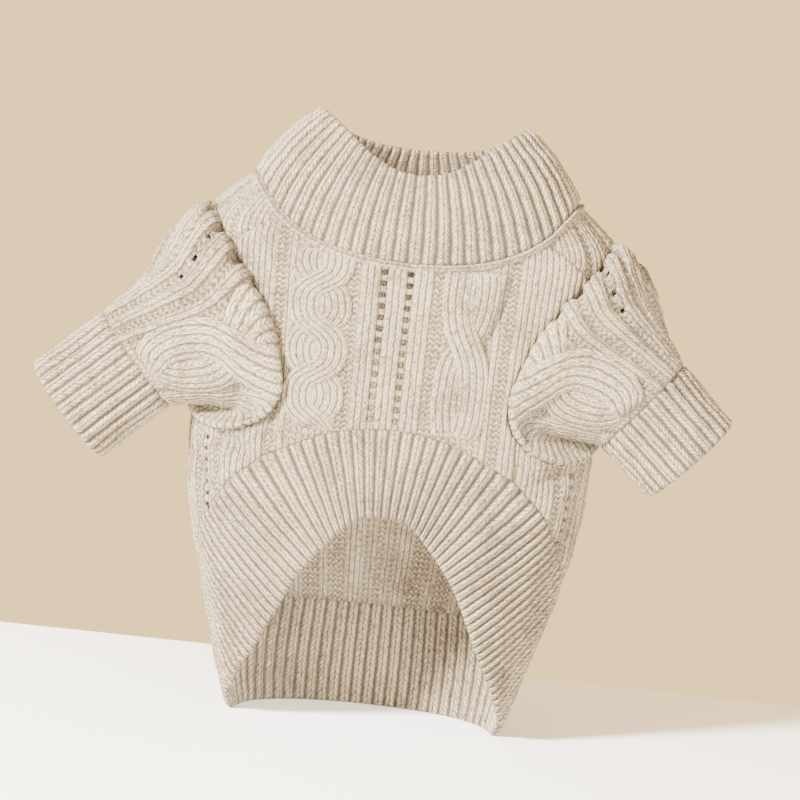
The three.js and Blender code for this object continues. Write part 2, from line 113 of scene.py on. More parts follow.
def smooth_table(rows):
    rows = np.array(rows, float)
    keys = rows[:, 0]
    before, after = rows[[0, *range(len(rows) - 1)]], rows[[*range(1, len(rows)), -1]]
    slopes = (after - before) / (after - before)[:, :1]

    def read(key, column):
        key = np.asarray(key, float)
        i = np.clip(np.searchsorted(keys, key) - 1, 0, len(keys) - 2)
        step = keys[i + 1] - keys[i]
        s = np.clip((key - keys[i]) / step, 0, 1)
        return hermite(rows[i, column], rows[i + 1, column], slopes[i, column] * step,
                       slopes[i + 1, column] * step, s)

    return read


def smooth_curve(rows, lap=None):
    """Through rows of [turn, height]. A closed curve turns on by lap after its last row."""
    rows = np.array(rows, float)
    count = len(rows)

    def row(k):
        if lap is None:
            return rows[np.clip(k, 0, count - 1)]
        found = rows[k % count].copy()
        found[..., 0] += (k // count) * lap
        return found

    def at(place):
        place = np.asarray(place, float)
        i = np.floor(place).astype(int)
        if lap is None:
            i = np.clip(i, 0, count - 2)
        p, a, b, q = (row(i + k) for k in (-1, 0, 1, 2))
        return hermite(a, b, (b - p) / 2, (q - a) / 2, (place - i)[..., None])

    return at


def mirrored(rows):
    """Both sides of a curve that is given from its middle to one side."""
    return [[-turn, height] for turn, height in rows[:0:-1]] + rows


# %% [markdown]
# ## The body of the sweater
# With no dog inside, the knitting still stands as a soft tube: wide at the chest, narrower at
# the hem, and deeper behind. Each row below is one level section. A point on the tube is a turn
# round it, 0 at the middle of the belly and 180 at the middle of the back, and a height.

# %% Torso sections: height, half width, front depth, back depth, where it is widest
torso_rows = [
    [0, 66, 34, 50, -16], [20, 73, 38, 50, -14], [45, 80.5, 41, 50, -12], [75, 89.5, 43, 50, -9],
    [105, 97, 44, 49, -6], [135, 99.5, 45, 48, -4], [165, 100.5, 46, 47, -1],
    [200, 102, 46, 46, 2], [230, 104.5, 45, 44, 5], [243, 104, 44, 43, 6], [252, 99, 43, 42, 7],
    [260, 91, 42.5, 41.5, 7.5], [270, 79, 42, 41, 8],
]
section = smooth_table(torso_rows)
fullness = 0.12  # how much squarer than an ellipse a section is


def torso(place):
    turn, height = np.radians(place[..., 0]), place[..., 1]
    sin, cos = np.sin(turn), np.cos(turn)
    depth = np.where(cos > 0, section(height, 2), section(height, 3))
    y = section(height, 4) - depth * cos * (1 + fullness * sin**2)
    return np.stack([section(height, 1) * sin, y, height], -1)


def unit(v):
    return v / np.maximum(np.linalg.norm(v, axis=-1, keepdims=True), 1e-9)


def torso_normal(place):
    """Straight out of the cloth, and level near the hem, so that the hem stands flat."""
    turn, up = np.array([0.5, 0]), np.array([0, 0.5])
    out = np.cross(torso(place + turn) - torso(place - turn), torso(place + up) - torso(place - up))
    out = unit(out)
    out[..., 2] *= np.clip(place[..., 1] / 12, 0, 1)
    return unit(out)


def places(turn, height):
    return np.stack(np.broadcast_arrays(np.asarray(turn, float), height), -1)


def distances(points):
    """How far along a line each of its points lies."""
    return np.concatenate([[0], np.cumsum(np.linalg.norm(np.diff(points, axis=0), axis=1))])


chest_girth = distances(torso(places(np.linspace(0, 360, 200), 200)))[-1]
print("chest girth, mm:", round(chest_girth))

# %% [markdown]
# ## Seam lines
# A maker marks the seams before any cutting: the belly's high arch, the seam above its ribbed
# band, the neckline and the two armholes. They are curves on the body of the sweater, so that
# neighbouring pieces share them exactly.

# %% Arch, band seam, neckline and armhole as turn and height
arch_end, arch_end_height = 74, 11.5
band_end, band_end_height = 92, 51
back_band_height = 52
arch = smooth_curve(mirrored([
    [0, 108], [6, 107], [10, 102.5], [14, 95.5], [19, 87], [25.5, 75],
    [33.5, 58], [42, 43], [52.5, 29.5], [63.5, 18.5], [70, 13.5],
    [arch_end, arch_end_height]]))
band_seam = smooth_curve(mirrored([
    [0, 151], [11.5, 149], [20.5, 144.5], [27, 139.5], [38.5, 131], [44.4, 124.5],
    [51.7, 116.5], [58.2, 108], [66, 98.5], [77, 87], [86.5, 70],
    [band_end, band_end_height]]))
seam_middle = 11  # the row of arch and band seam in the middle of the belly
neck_half = [
    [0, 232], [12, 233.5], [22, 237], [31, 243], [39, 249.5], [50, 258],
    [65, 265], [85, 268.5], [105, 267.5], [130, 262.5], [155, 258.5], [180, 257]]
neck_back = 11  # the row of the neckline in the middle of the back
neckline = smooth_curve(neck_half + [[360 - t, h] for t, h in neck_half[-2:0:-1]], lap=360)
armhole = smooth_curve([
    [80, 249], [68, 243], [59, 232], [48, 216], [39, 196], [34.5, 177], [34, 160], [42, 147],
    [56, 142.5], [70, 145], [82, 154], [90, 168], [94, 185], [95.5, 204], [94.5, 222],
    [90, 239]], lap=0)
armhole_rows = 16
shoulder_seam, side_seam = 2, 6.5  # places on the armhole
side_on_seam = 4  # rows from the middle to the side seam, on band seam and neckline


def from_belly(turn):
    """Degrees from the middle of the belly, on either side."""
    return 180 - np.abs(180 - turn)


def hem_height(turn):
    """On the floor all round the back, and up within 20 degrees to meet the arch."""
    return arch_end_height * ease((arch_end + 20 - from_belly(turn)) / 20)


def back_band_top(turn):
    rise = back_band_height - band_end_height
    return band_end_height + rise * ease((from_belly(turn) - band_end) / 40)


def evenly(point_at, start, end):
    """Turns a share of a curve's own length into a place on it."""
    marks = np.linspace(start, end, 241)
    lengths = distances(point_at(marks))
    return lambda share: np.interp(share, lengths / lengths[-1], marks)


print("neckline, mm:", round(distances(torso(neckline(np.linspace(0, 2 * neck_back, 400))))[-1]))

# %% [markdown]
# ## The gauge
# Gauge is how many stitches and rows go into a length of knitting, and it is the one size that
# a photograph of knitting always shows. Here a stitch is 3.15 mm wide and 2.75 mm high. A
# knitted shell is a grid with a few points per stitch. It has an outer and an inner skin, and
# the skins are bridged round every rim, as Solidify would do it, but with the reverse side of
# the fabric knitted differently from its face.

# %% Stitch sizes in millimetres
wale, course = 3.15, 2.75
cloth = 3.0  # thickness of one layer
rim_profile = np.array([0.12, 0.74, 0.95, 1.0])  # how the edge of the cloth rounds off
shift = np.array([6.6, -0.8, 0.0])  # from the maker's own middle to the frame's
to_metres = 0.001


def fraction(x):
    return x - np.floor(x)


def wander(x, y, seed=0.0):
    """A slow unevenness between -1 and 1, as hand-finished knitting has."""
    return (np.sin(0.071 * x + 0.113 * y + seed) + np.sin(0.157 * x - 0.089 * y + 2.1 * seed + 1.3)
            + np.sin(-0.043 * x + 0.241 * y + 0.7 * seed + 4.2)) / 3


print("stitches round the chest:", round(chest_girth / wale))

# %% [markdown]
# ## Creases
# Cloth with nobody in it keeps a few soft creases: under the sleeves, beside a cable, and where
# the bands pull in. Each is a line on the garment with its own width and depth, given one by one
# and no two alike. They are worked out from where a point lies, so that a crease runs on over
# a seam and over the cable on top of it.

# %% Creases of the body as width, depth, and places on it by turn and height
creases = []
for width, depth, line in [
    (2.2, -3.0, [[29, 232], [27.5, 218], [26, 206], [23, 194]]),
    (2.0, -1.0, [[22, 192], [23.5, 178], [22.5, 160]]),
    (5.0, 1.4, [[33, 226], [31.5, 208], [30, 190]]),
    (3.4, -2.6, [[-62, 139], [-53, 137], [-45, 132], [-41, 124]]),
    (4.6, 1.5, [[-66, 131], [-57, 129], [-50, 122]]),
    (3.0, -1.8, [[-72, 128], [-66, 116], [-62, 100]]),
    (3.2, -2.6, [[64, 140], [56, 136], [49, 133]]),
    (4.2, 1.3, [[68, 132], [60, 127], [54, 118]]),
    (3.4, -1.8, [[75, 122], [72, 104], [69, 84]]),
    (5.5, 1.5, [[-34, 226], [-38, 205], [-37, 184]]),
    (3.0, -1.1, [[-31, 168], [-35, 154], [-42, 146]]),
    (6.0, 1.2, [[80, 92], [76, 66], [75, 40]]),
    (6.5, -1.3, [[-80, 96], [-78, 70], [-77, 44]]),
    (5.0, -1.6, [[113, 150], [106, 140], [100, 128], [97, 112]]),
    (6.5, 1.5, [[122, 140], [114, 126], [109, 108]]),
    (4.4, -1.4, [[-110, 152], [-104, 138], [-101, 121]]),
    (6.0, 1.3, [[-119, 143], [-113, 124]]),
    (7.0, -1.5, [[150, 232], [143, 214], [140, 190]]),
    (8.0, 1.3, [[-150, 226], [-146, 201], [-149, 178]]),
    (7.0, -1.2, [[168, 118], [160, 96], [158, 70]]),
    (8.5, 1.1, [[-166, 128], [-160, 102], [-163, 78]]),
]:
    creases.append((width, depth, torso(np.array(line, float))))


def fold(points):
    """How far the creases push the cloth out, in millimetres."""
    pushed = np.zeros(len(points))
    for width, depth, line in creases:
        parts = np.linalg.norm(np.diff(line, axis=0), axis=1)
        marks = np.concatenate([[0], np.cumsum(parts)])
        nearest, along = np.full(len(points), np.inf), np.zeros(len(points))
        for a, b, mark, part in zip(line, line[1:], marks, parts):
            share = np.clip((points - a) @ (b - a) / part**2, 0, 1)
            away = np.linalg.norm(points - a - share[:, None] * (b - a), axis=1)
            along = np.where(away < nearest, (mark + share * part) / marks[-1], along)
            nearest = np.minimum(nearest, away)
        fade = 0.25 + 0.75 * np.sin(np.pi * np.clip(along, 0.02, 0.98)) ** 0.7
        pushed += depth * fade * np.exp(-((nearest / width) ** 2))
    return pushed


print("creases of the body:", len(creases))

# %% [markdown]
# ## From a flat grid to a knitted shell
# `bmesh.ops.create_grid` makes both skins as flat grids. The armholes and eyelets are deleted
# from them, rims are bridged, and only then is every vertex moved on to the garment. Each
# vertex remembers its wale and row in a UV map called stitches, so that the material can draw
# the yarn on it, and a number called purl that says which side of the stitch faces out.

# %% Helpers that close and place a shell
def rim_loops(build):
    """The closed loops of boundary edges, as sets of edges."""
    left = {e for e in build.edges if e.is_boundary}
    loops = []
    while left:
        loop, front = set(), [left.pop()]
        while front:
            edge = front.pop()
            loop.add(edge)
            for v in edge.verts:
                for other in v.link_edges:
                    if other in left:
                        left.discard(other)
                        front.append(other)
        loops.append(loop)
    return loops


eyelet_rim = 40  # a rim of fewer edges than this belongs to an eyelet


def middle_of(loop):
    return np.mean([v.co for e in loop for v in e.verts], axis=0)


def bridge_rims(build):
    """Joins each rim of the outer skin to the nearest rim of its kind on the inner one."""
    loops = rim_loops(build)
    middle = [middle_of(loop) for loop in loops]
    is_eyelet = [len(loop) < eyelet_rim for loop in loops]
    inner = [k for k, m in enumerate(middle) if m[2] < 0]
    for k in [k for k, m in enumerate(middle) if m[2] > 0]:
        mate = min(inner, key=lambda n: np.linalg.norm((middle[n] - middle[k])[:2])
                   + 1e3 * (is_eyelet[n] != is_eyelet[k]))
        inner.remove(mate)
        bmesh.ops.bridge_loops(build, edges=[*loops[k], *loops[mate]])


def close_tube(mesh):
    """Sews a tube's first column to its last, and its two skins together at every rim."""
    build = bmesh.new()
    build.from_mesh(mesh)
    bmesh.ops.remove_doubles(build, verts=build.verts, dist=2e-6)
    loops = rim_loops(build)
    while len(loops) > 1:
        rim = loops.pop(0)
        mate = min(range(len(loops)), key=lambda n: np.linalg.norm(middle_of(loops[n]) - middle_of(rim)))
        bmesh.ops.bridge_loops(build, edges=[*rim, *loops.pop(mate)])
    build.to_mesh(mesh)
    build.free()


def rings_from_rim(build, wrap):
    """How many edges each vertex is away from a rim, up to the length of the rim's profile."""
    build.verts.index_update()
    ring = np.full(len(build.verts), len(rim_profile) - 1)
    front = {v for v in build.verts if v.is_boundary
             and not (wrap and v.co.x in (0, 1) and 0 < v.co.y < 1)}
    seen = set()
    for k in range(len(rim_profile) - 1):
        for v in front:
            ring[v.index] = k
        seen |= front
        front = {o for v in front for e in v.link_edges for o in e.verts} - seen
    return ring


# %% Two flat skins, cut to a window
def two_skins(wales, rows, fine, inner):
    """The face of the cloth as a flat grid at 1, and its wrong side, maybe coarser, at -1."""
    build = bmesh.new()
    for side, step in ((1, 1), (-1, inner)):
        bmesh.ops.create_grid(build, x_segments=wales * fine[0] // step,
                              y_segments=rows * fine[1] // step, size=0.5,
                              matrix=Matrix.Translation((0.5, 0.5, side)))
    return build


def cut_out(build, window):
    """Deletes the cells outside a window, and those that would meet in a corner alone."""
    centre = np.array([f.calc_center_median() for f in build.faces])
    gone = ~window(centre[:, 0], centre[:, 1])
    bmesh.ops.delete(build, geom=[f for f, g in zip(build.faces, gone) if g], context="FACES")
    for _ in range(4):
        pinched = [v for v in build.verts if sum(e.is_boundary for e in v.link_edges) > 2]
        if not pinched:
            break
        bmesh.ops.delete(build, geom=list({v.link_faces[0] for v in pinched}), context="FACES")


def write_stitches(mesh, stitch, purl):
    loops = np.zeros(len(mesh.loops), int)
    mesh.loops.foreach_get("vertex_index", loops)
    stitches = mesh.uv_layers.new(name="stitches")
    stitches.uv.foreach_set("vector", stitch[loops].astype(np.float32).ravel())
    amount = mesh.attributes.new("purl", "FLOAT", "POINT")
    amount.data.foreach_set("value", purl.astype(np.float32))


def add_object(name, data):
    made = bpy.data.objects.new(name, data)
    bpy.context.scene.collection.objects.link(made)
    return made


# %% The knitted shell itself
def knit_shell(name, surface, wales, rows, pattern, fine=(3, 3), inner=1, wrap=False,
               window=None, snap=None, thick=cloth, wrong_side=None):
    """surface(u, v) gives middle layer and normal; pattern(w, r, u, v) how proud and how purl.
    wrong_side is a pattern for the back of the cloth, which else follows from its face."""
    build = two_skins(wales, rows, fine, inner)
    if window is not None:
        cut_out(build, window)
    bmesh.ops.reverse_faces(build, faces=[f for f in build.faces if f.calc_center_median().z < 0])
    ring = rings_from_rim(build, wrap)
    u, v, side = np.array([vert.co for vert in build.verts]).T
    if snap is not None:
        u[ring == 0], v[ring == 0] = snap(u[ring == 0], v[ring == 0])
        for vert, a, b in zip(build.verts, u, v):
            vert.co.x, vert.co.y = a, b

    w, r = u * wales, v * rows
    lift, purl = pattern(w, r, u, v)
    back_lift, back_purl = 0.9 * lift, 1 - purl
    if wrong_side is not None:
        proud, back_purl = wrong_side(w, r, u, v)
        back_lift = -proud
    middle, normal = surface(u, v)
    middle = middle + normal * fold(middle)[:, None]
    out = np.where(side > 0, thick / 2 + lift, -thick / 2 + back_lift) * rim_profile[ring]
    points = (middle + normal * out[:, None] + shift) * to_metres

    if not wrap:
        bridge_rims(build)
    mesh = bpy.data.meshes.new(name)
    build.verts.index_update()
    build.to_mesh(mesh)
    build.free()
    mesh.vertices.foreach_set("co", points.astype(np.float32).ravel())
    write_stitches(mesh, np.stack([w + (side < 0), r], -1), np.where(side > 0, purl, back_purl))
    if wrap:
        close_tube(mesh)
    mesh.shade_smooth()
    return add_object(name, mesh)


def measure(piece):
    """Triangles, and half the surface of the closed shell, which is the cloth's own area."""
    area = sum(p.area for p in piece.data.polygons) / 2
    triangles = sum(len(p.vertices) - 2 for p in piece.data.polygons)
    print(f"{piece.name}: {triangles} triangles, {area * 1e4:.1f} square centimetres of cloth")
    return piece


# %% [markdown]
# ## Pieces that are cut to shape
# The belly panel and the back are knitted straight and shaped at their edges. So their grids
# are straight too, in lengths round the body and heights, cells outside the seam lines are
# deleted, and the points left on the edge are snapped on to the seam line itself.

# %% Cutting a panel out of straight knitting
def inside(outline, x, y):
    """Whether points lie inside a closed outline, by counting how often a ray crosses it."""
    found = np.zeros(len(x), bool)
    for (x0, y0), (x1, y1) in zip(outline, np.roll(outline, -1, axis=0)):
        if y0 == y1:
            continue
        crosses = (y0 > y) != (y1 > y)
        found ^= crosses & (x < (x1 - x0) * (y - y0) / (y1 - y0) + x0)
    return found


class Panel:
    """A piece knitted straight: s runs round the body in millimetres, h is the height."""
    eyelet_reach = 2.3  # the rim of an eyelet's cell lies within this of its middle

    def __init__(self, middle_turn, level, outline, first_wale, wales, first_row, rows, centre=0.0,
                 eyelet=(1.9, 1.65)):
        turns = middle_turn + np.linspace(-180, 180, 721)
        ring = torso(places(turns, level))
        length = distances(ring)
        self.turns, self.lengths = turns, length - length[360]
        self.wales, self.rows, self.first_row = wales, rows, first_row
        self.start = centre + (first_wale - 0.5) * wale
        self.outline = self.flat(outline)
        self.eyelets, self.eyelet = np.zeros((0, 2)), eyelet

    def flat(self, place):
        return np.stack([np.interp(place[:, 0], self.turns, self.lengths), place[:, 1]], -1)

    def to_flat(self, u, v):
        return self.start + u * self.wales * wale, (self.first_row + v * self.rows) * course

    def surface(self, u, v):
        s, h = self.to_flat(u, v)
        place = places(np.interp(s, self.lengths, self.turns), h)
        return torso(place), torso_normal(place)

    def window(self, u, v):
        s, h = self.to_flat(u, v)
        keep = inside(self.outline, s, h)
        for a, b in self.eyelets:
            keep &= ~((np.abs(s - a) < wale / 2) & (np.abs(h - b) < course / 2))
        return keep

    def snap(self, u, v):
        """Points of the cut edge go on to the outline, and those of an eyelet on to an oval."""
        s, h = self.to_flat(u, v)
        dense = np.concatenate([np.linspace(a, b, 8, endpoint=False) for a, b in
                                zip(self.outline, np.roll(self.outline, -1, axis=0))])
        tree = KDTree(len(dense))
        for k, (a, b) in enumerate(dense):
            tree.insert((a, b, 0), k)
        tree.balance()
        for k in range(len(s)):
            near = np.hypot(self.eyelets[:, 0] - s[k], self.eyelets[:, 1] - h[k])
            e = int(np.argmin(near))
            if near[e] < self.eyelet_reach:
                x = (s[k] - self.eyelets[e, 0]) / (wale / 2)
                y = (h[k] - self.eyelets[e, 1]) / (course / 2)
                s[k] = self.eyelets[e, 0] + x * math.sqrt(max(0, 1 - y * y / 2)) * self.eyelet[0]
                h[k] = self.eyelets[e, 1] + y * math.sqrt(max(0, 1 - x * x / 2)) * self.eyelet[1]
            else:
                point, _, _ = tree.find((s[k], h[k], 0))
                s[k], h[k] = point[0], point[1]
        return ((s - self.start) / (self.wales * wale),
                (h / course - self.first_row) / self.rows)

    def pierce(self, wale_number, low, high, every=2):
        """A column of eyelets, one in every second row, as yarn-overs make them."""
        first, last = math.ceil(low / course), math.floor(high / course)
        s = self.start + (wale_number + 0.5) * wale
        column = [[s, (k + 0.5) * course] for k in range(first, last, every)]
        self.eyelets = np.concatenate([self.eyelets, np.array(column)])


# %% [markdown]
# ## What the knitter works, wale by wale
# Stockinette is all face stitches. A gutter of purl stitches beside it sinks back, and that is
# what makes columns and cables stand out. Each piece has a small list of such zones, given as
# wales from its middle.

# %% Face stitches, purl gutters and how proud they stand
def stitch_relief(w, r, purl):
    crown = 0.6 * np.sin(np.pi * fraction(w)) - 0.3
    bumps = 0.2 * np.cos(2 * np.pi * r + 2 * np.abs(fraction(w) - 0.5))
    return (1 - purl) * crown + purl * (bumps - 0.9)


def zones(x, *limits, soft=0.35):
    """1 in each zone from one wale to another, 0 outside, and eased over a part of a wale."""
    return sum(ease((x - low) / soft + 0.5) * ease((high - x) / soft + 0.5) for low, high in limits)


def rib_pattern(high=0.9, low=-1.6, loose=0.45):
    """One by one rib: every second wale is purl, and sinks between the face stitches."""
    def pattern(w, r, u, v):
        across = 0.5 + 0.5 * np.cos(np.pi * (w - 0.5))
        turn = 2 * np.pi * u
        uneven = loose * wander(60 * np.cos(turn), 60 * np.sin(turn) + 5 * r)
        return low + (high - low) * across**0.4 + uneven, 1 - ease(across * 2 - 0.5)
    return pattern


# %% Belly panel
def join(*parts):
    return np.concatenate(parts)


def straight(a, b):
    """A seam line from a towards b, without b itself, where the next line starts."""
    return a + (b - a) * np.linspace(0, 1, 8)[:-1, None]


side_line = straight(band_seam(seam_middle + side_on_seam), armhole(side_seam))
shoulder_line = straight(armhole(shoulder_seam), neckline(side_on_seam))
right_edge = join(side_line, armhole(np.linspace(side_seam, shoulder_seam, 60)[:-1]), shoulder_line)
front_outline = join(
    band_seam(seam_middle + np.linspace(-side_on_seam, side_on_seam, 80)[:-1]), right_edge,
    neckline(np.linspace(side_on_seam, -side_on_seam, 80)[:-1]),
    [neckline(-side_on_seam)], right_edge[::-1][:-1] * [-1, 1])
front = Panel(0, 200, front_outline, first_wale=-31, wales=66, first_row=46, rows=48, centre=-5)
for k in (-2, 2):
    front.pierce(31 + k, 152, 230)


def front_pattern(w, r, u, v):
    x = np.abs(w - 31.5)
    gutters = zones(x, (5.5, 7.5), (16.8, 18.8))
    under_cables = zones(x, (7.5, 15.5))
    lace = zones(x, (1.5, 2.5))
    purl = np.clip(gutters + 0.7 * under_cables + 0.25 * lace, 0, 1)
    s, h = front.to_flat(u, v)
    lift = stitch_relief(w, r, purl) - 0.3 * lace + 0.35 * zones(x, (2.5, 5.5))
    return lift + 0.6 * wander(s, h, 1.0), purl


front_panel = knit_shell("front_panel_knit", front.surface, front.wales, front.rows, front_pattern,
                         inner=3, window=front.window, snap=front.snap)
measure(front_panel)

# %% Back, sides and shoulders
back_turns = np.linspace(180, band_end, 60)
back_edge = join(
    places(back_turns, back_band_top(back_turns))[:-1],
    band_seam(np.linspace(2 * seam_middle, seam_middle + side_on_seam, 80)[:-1]), side_line,
    armhole(np.linspace(side_seam, armhole_rows + shoulder_seam, 140)[:-1]), shoulder_line,
    neckline(np.linspace(side_on_seam, neck_back, 80)[:-1]))
back_outline = join(back_edge, [360, 0] + back_edge[::-1] * [-1, 1])
back = Panel(180, 170, back_outline, first_wale=-63, wales=126, first_row=18, rows=81,
             eyelet=(1.3, 1.15))
for k, low, high in ((-46, 96, 139), (-1, 110, 250), (1, 110, 250), (46, 96, 139)):
    back.pierce(63 + k, low, high)


def back_pattern(w, r, u, v):
    x = np.abs(w - 63.5)
    gutters = zones(x, (5.5, 7.5), (15.5, 17.5), (24.5, 26), (40, 41.5), (43.5, 45), (48, 49.5))
    purl = np.clip(gutters + 0.7 * zones(x, (7.5, 15.5)), 0, 1)
    s, h = back.to_flat(u, v)
    return stitch_relief(w, r, purl) + 0.6 * wander(s, h, 2.0), purl


def back_wrong_side(w, r, u, v):
    """Seen through the arch: three raised wales on each side of the lace, then purl and one more."""
    x = np.abs(w - 63.5)
    knit = np.clip(zones(x, (0.6, 2.3), (3.1, 6.0), (9.6, 11.4), (15, 16.5), (24.5, 26),
                         (40, 41.5)), 0, 1)
    groove = zones(x, (-1, 0.5), (2.2, 3.2)) + 0.8 * zones(x, (0.6, 1.8)) * np.cos(np.pi * r)
    s, h = back.to_flat(u, v)
    return 1.2 * knit - 0.7 * groove + 0.3 * wander(s, h, 5.0), 1 - knit


back_panel = knit_shell("back_panel_knit", back.surface, back.wales, back.rows, back_pattern,
                        inner=3, window=back.window, snap=back.snap, wrong_side=back_wrong_side)
measure(back_panel)

# %% [markdown]
# ## Ribbed bands
# The ribs of the belly band fan out: they stand close at the arch and wider at the seam above.
# A grid whose columns follow the ribs does that by itself, because both of its edges are shared
# out into the same number of ribs.

# %% Belly band and back band
rib_rows = smooth_table([[0, 0, 0], [4, 0.115, 0.152], [8, 0.22, 0.309], [13, 0.365, 0.528],
                         [20, 0.59, 0.7], [27, 0.8, 0.86], [33, 1, 1]])
belly_ribs, back_ribs = 66, 36
arch_place = evenly(lambda s: torso(arch(s)), seam_middle, 2 * seam_middle)
seam_place = evenly(lambda s: torso(band_seam(s)), seam_middle, 2 * seam_middle)


def belly_band_surface(u, v):
    rib = (u - 0.5) * belly_ribs
    low = arch(arch_place(rib_rows(np.abs(rib), 1)))
    high = band_seam(seam_place(rib_rows(np.abs(rib), 2)))
    place = low + (high - low) * v[:, None]
    place[:, 0] *= np.sign(rib)
    return torso(place), torso_normal(place)


def back_band_surface(u, v):
    hem = evenly(lambda t: torso(places(t, hem_height(t))), arch_end, 360 - arch_end)(u)
    top = evenly(lambda t: torso(places(t, back_band_height)), band_end, 360 - band_end)(u)
    low, high = places(hem, hem_height(hem)), places(top, back_band_top(top))
    place = low + (high - low) * v[:, None]
    return torso(place), torso_normal(place)


belly_band = knit_shell("belly_band_rib", belly_band_surface, belly_ribs * 2, 18, rib_pattern())
back_band = knit_shell("back_band_rib", back_band_surface, back_ribs * 2, 19, rib_pattern())
measure(belly_band)
measure(back_band)

# %% [markdown]
# ## Turtleneck
# The collar is knitted twice as long and folded in, so it is thick and its rim is round. Its
# ribs run from the oval rim down to the neckline, which dips at the belly.

# %% Collar
rim_table = smooth_table([[0, 275], [15, 277.5], [30, 284.5], [45, 293], [60, 299.5], [75, 303],
                          [90, 303.5], [110, 300], [130, 295], [150, 291], [180, 289]])
rim_half_width, rim_front, rim_back, rim_middle = 51, 39, 38, 8.5
collar_ribs = 62


def rim_point(turn):
    sin, cos = np.sin(np.radians(turn)), np.cos(np.radians(turn))
    y = rim_middle - np.where(cos > 0, rim_front, rim_back) * cos
    return np.stack([rim_half_width * sin, y, rim_table(from_belly(turn), 1)], -1)


neck_place = evenly(lambda s: torso(neckline(s)), 0, 2 * neck_back)
rim_place = evenly(rim_point, 0, 360)


def collar_point(u, v):
    """Straight from the neckline to the rim, but bowed out a little between them."""
    low, high = torso(neckline(neck_place(u % 1))), rim_point(rim_place(u % 1))
    out = unit((high - [0, rim_middle, 0]) * [1, 1, 0])
    return low + (high - low) * v[:, None] + out * (3 * np.sin(np.pi * np.clip(v, 0, 1)))[:, None]


def point_normal(point, u, v, du, dv, side=1):
    across = point(u + du, v) - point(u - du, v)
    up = point(u, np.minimum(v + dv, 1)) - point(u, np.maximum(v - dv, 0))
    return unit(np.cross(across, up)) * side


def collar_surface(u, v):
    normal = point_normal(collar_point, u, v, 0.002, 0.02)
    seam = torso_normal(neckline(neck_place(u % 1)))
    near_seam = np.clip(1 - 4 * v, 0, 1)[:, None]
    return collar_point(u, v), unit(normal * (1 - near_seam) + seam * near_seam)


def collar_pattern(w, r, u, v):
    lift, purl = rib_pattern()(w, r, u, v)
    return lift + 0.7 * np.sin(np.pi * np.clip(v, 0, 1)) ** 0.6, purl


collar = knit_shell("collar_rib", collar_surface, collar_ribs * 2, 19, collar_pattern, wrap=True,
                    thick=3.4)
measure(collar)

# %% [markdown]
# ## Sleeves and cuffs
# A sleeve starts as the outline of its armhole, stands out of it a little, and turns into an
# oval tube that points out and down. The rings below are that tube: where its middle is, how
# wide and deep it is, and how far it tilts.

# %% Sleeve and cuff rings: share of length, x, y, z, half width, half depth, tilt, skew
sleeve_rings = {
    -1: [[0, 88, -22, 198, 51, 27, 14, 0.95], [0.25, 94, -23, 197, 49, 27, 20.5, 0.82],
         [0.5, 103.5, -23, 186.5, 37.5, 24.5, 27, 0.65],
         [0.75, 116.5, -23, 178.5, 30.8, 20.5, 34.5, 0.3],
         [1, 129.5, -22, 171, 26.8, 18.5, 41.5, 0]],
    1: [[0, 87, -22, 199, 50, 27, 14, 1], [0.25, 92, -23, 200, 47.5, 27, 20, 0.95],
        [0.5, 100.5, -23, 190.5, 38.5, 25, 25, 0.8],
        [0.75, 110.8, -23, 182.3, 32, 21, 31.5, 0.4],
        [1, 121.5, -22, 174.7, 26.9, 18.5, 39.5, 0]],
}
cuff_rings = {
    -1: [[0.5, 145.5, -21.5, 156.3, 26.4, 18.6, 41.5, 0], [1, 161.5, -21, 141.5, 27.2, 19.4, 42, 0]],
    1: [[0.5, 135, -21.5, 162.3, 26, 18.3, 41.5, 0], [1, 148.8, -21, 149.6, 26.2, 18.8, 42.5, 0]],
}
for side, rings in cuff_rings.items():  # a cuff starts with its sleeve's last ring
    rings.insert(0, [0, *sleeve_rings[side][-1][1:]])
cuff_ribs = 28
sleeve_wales, sleeve_rows = 64, 30
sleeve_lift = 6  # how far a sleeve stands out of its armhole before it turns oval
oval_from, oval_within = 0.1, 0.36  # where it turns oval, as shares of its length


def ring_point(rings, side, share, along):
    read = smooth_table(rings)
    tilt = np.radians(read(along, 6))
    high = read(along, 4) * np.cos(2 * np.pi * share)
    deep = read(along, 5) * np.sin(2 * np.pi * share)
    x = side * (read(along, 1) + high * np.sin(tilt) - deep * read(along, 7))
    return np.stack([x, read(along, 2) - deep, read(along, 3) + high * np.cos(tilt)], -1)


def sleeve_point(side):
    def point(u, v):
        share = (side * u) % 1
        at = armhole(share * armhole_rows) * [side, 1]
        out = torso_normal(at)
        along = (torso(armhole(share * armhole_rows + 0.05) * [side, 1])
                 - torso(armhole(share * armhole_rows - 0.05) * [side, 1]))
        inward = unit(np.cross(out, along)) * side
        rise = sleeve_lift * (1 - np.exp(-14 * np.clip(v, 0, 1))) - 0.6
        root = torso(at) + inward * 0.7 + out * rise[:, None]
        oval = ease((v - oval_from) / oval_within)[:, None]
        return root + (ring_point(sleeve_rings[side], side, share, v) - root) * oval
    return point


def cuff_point(side):
    return lambda u, v: ring_point(cuff_rings[side], side, (side * u) % 1, v)


def tube(point):
    return lambda u, v: (point(u, v), point_normal(point, u, v, 0.004, 0.02))


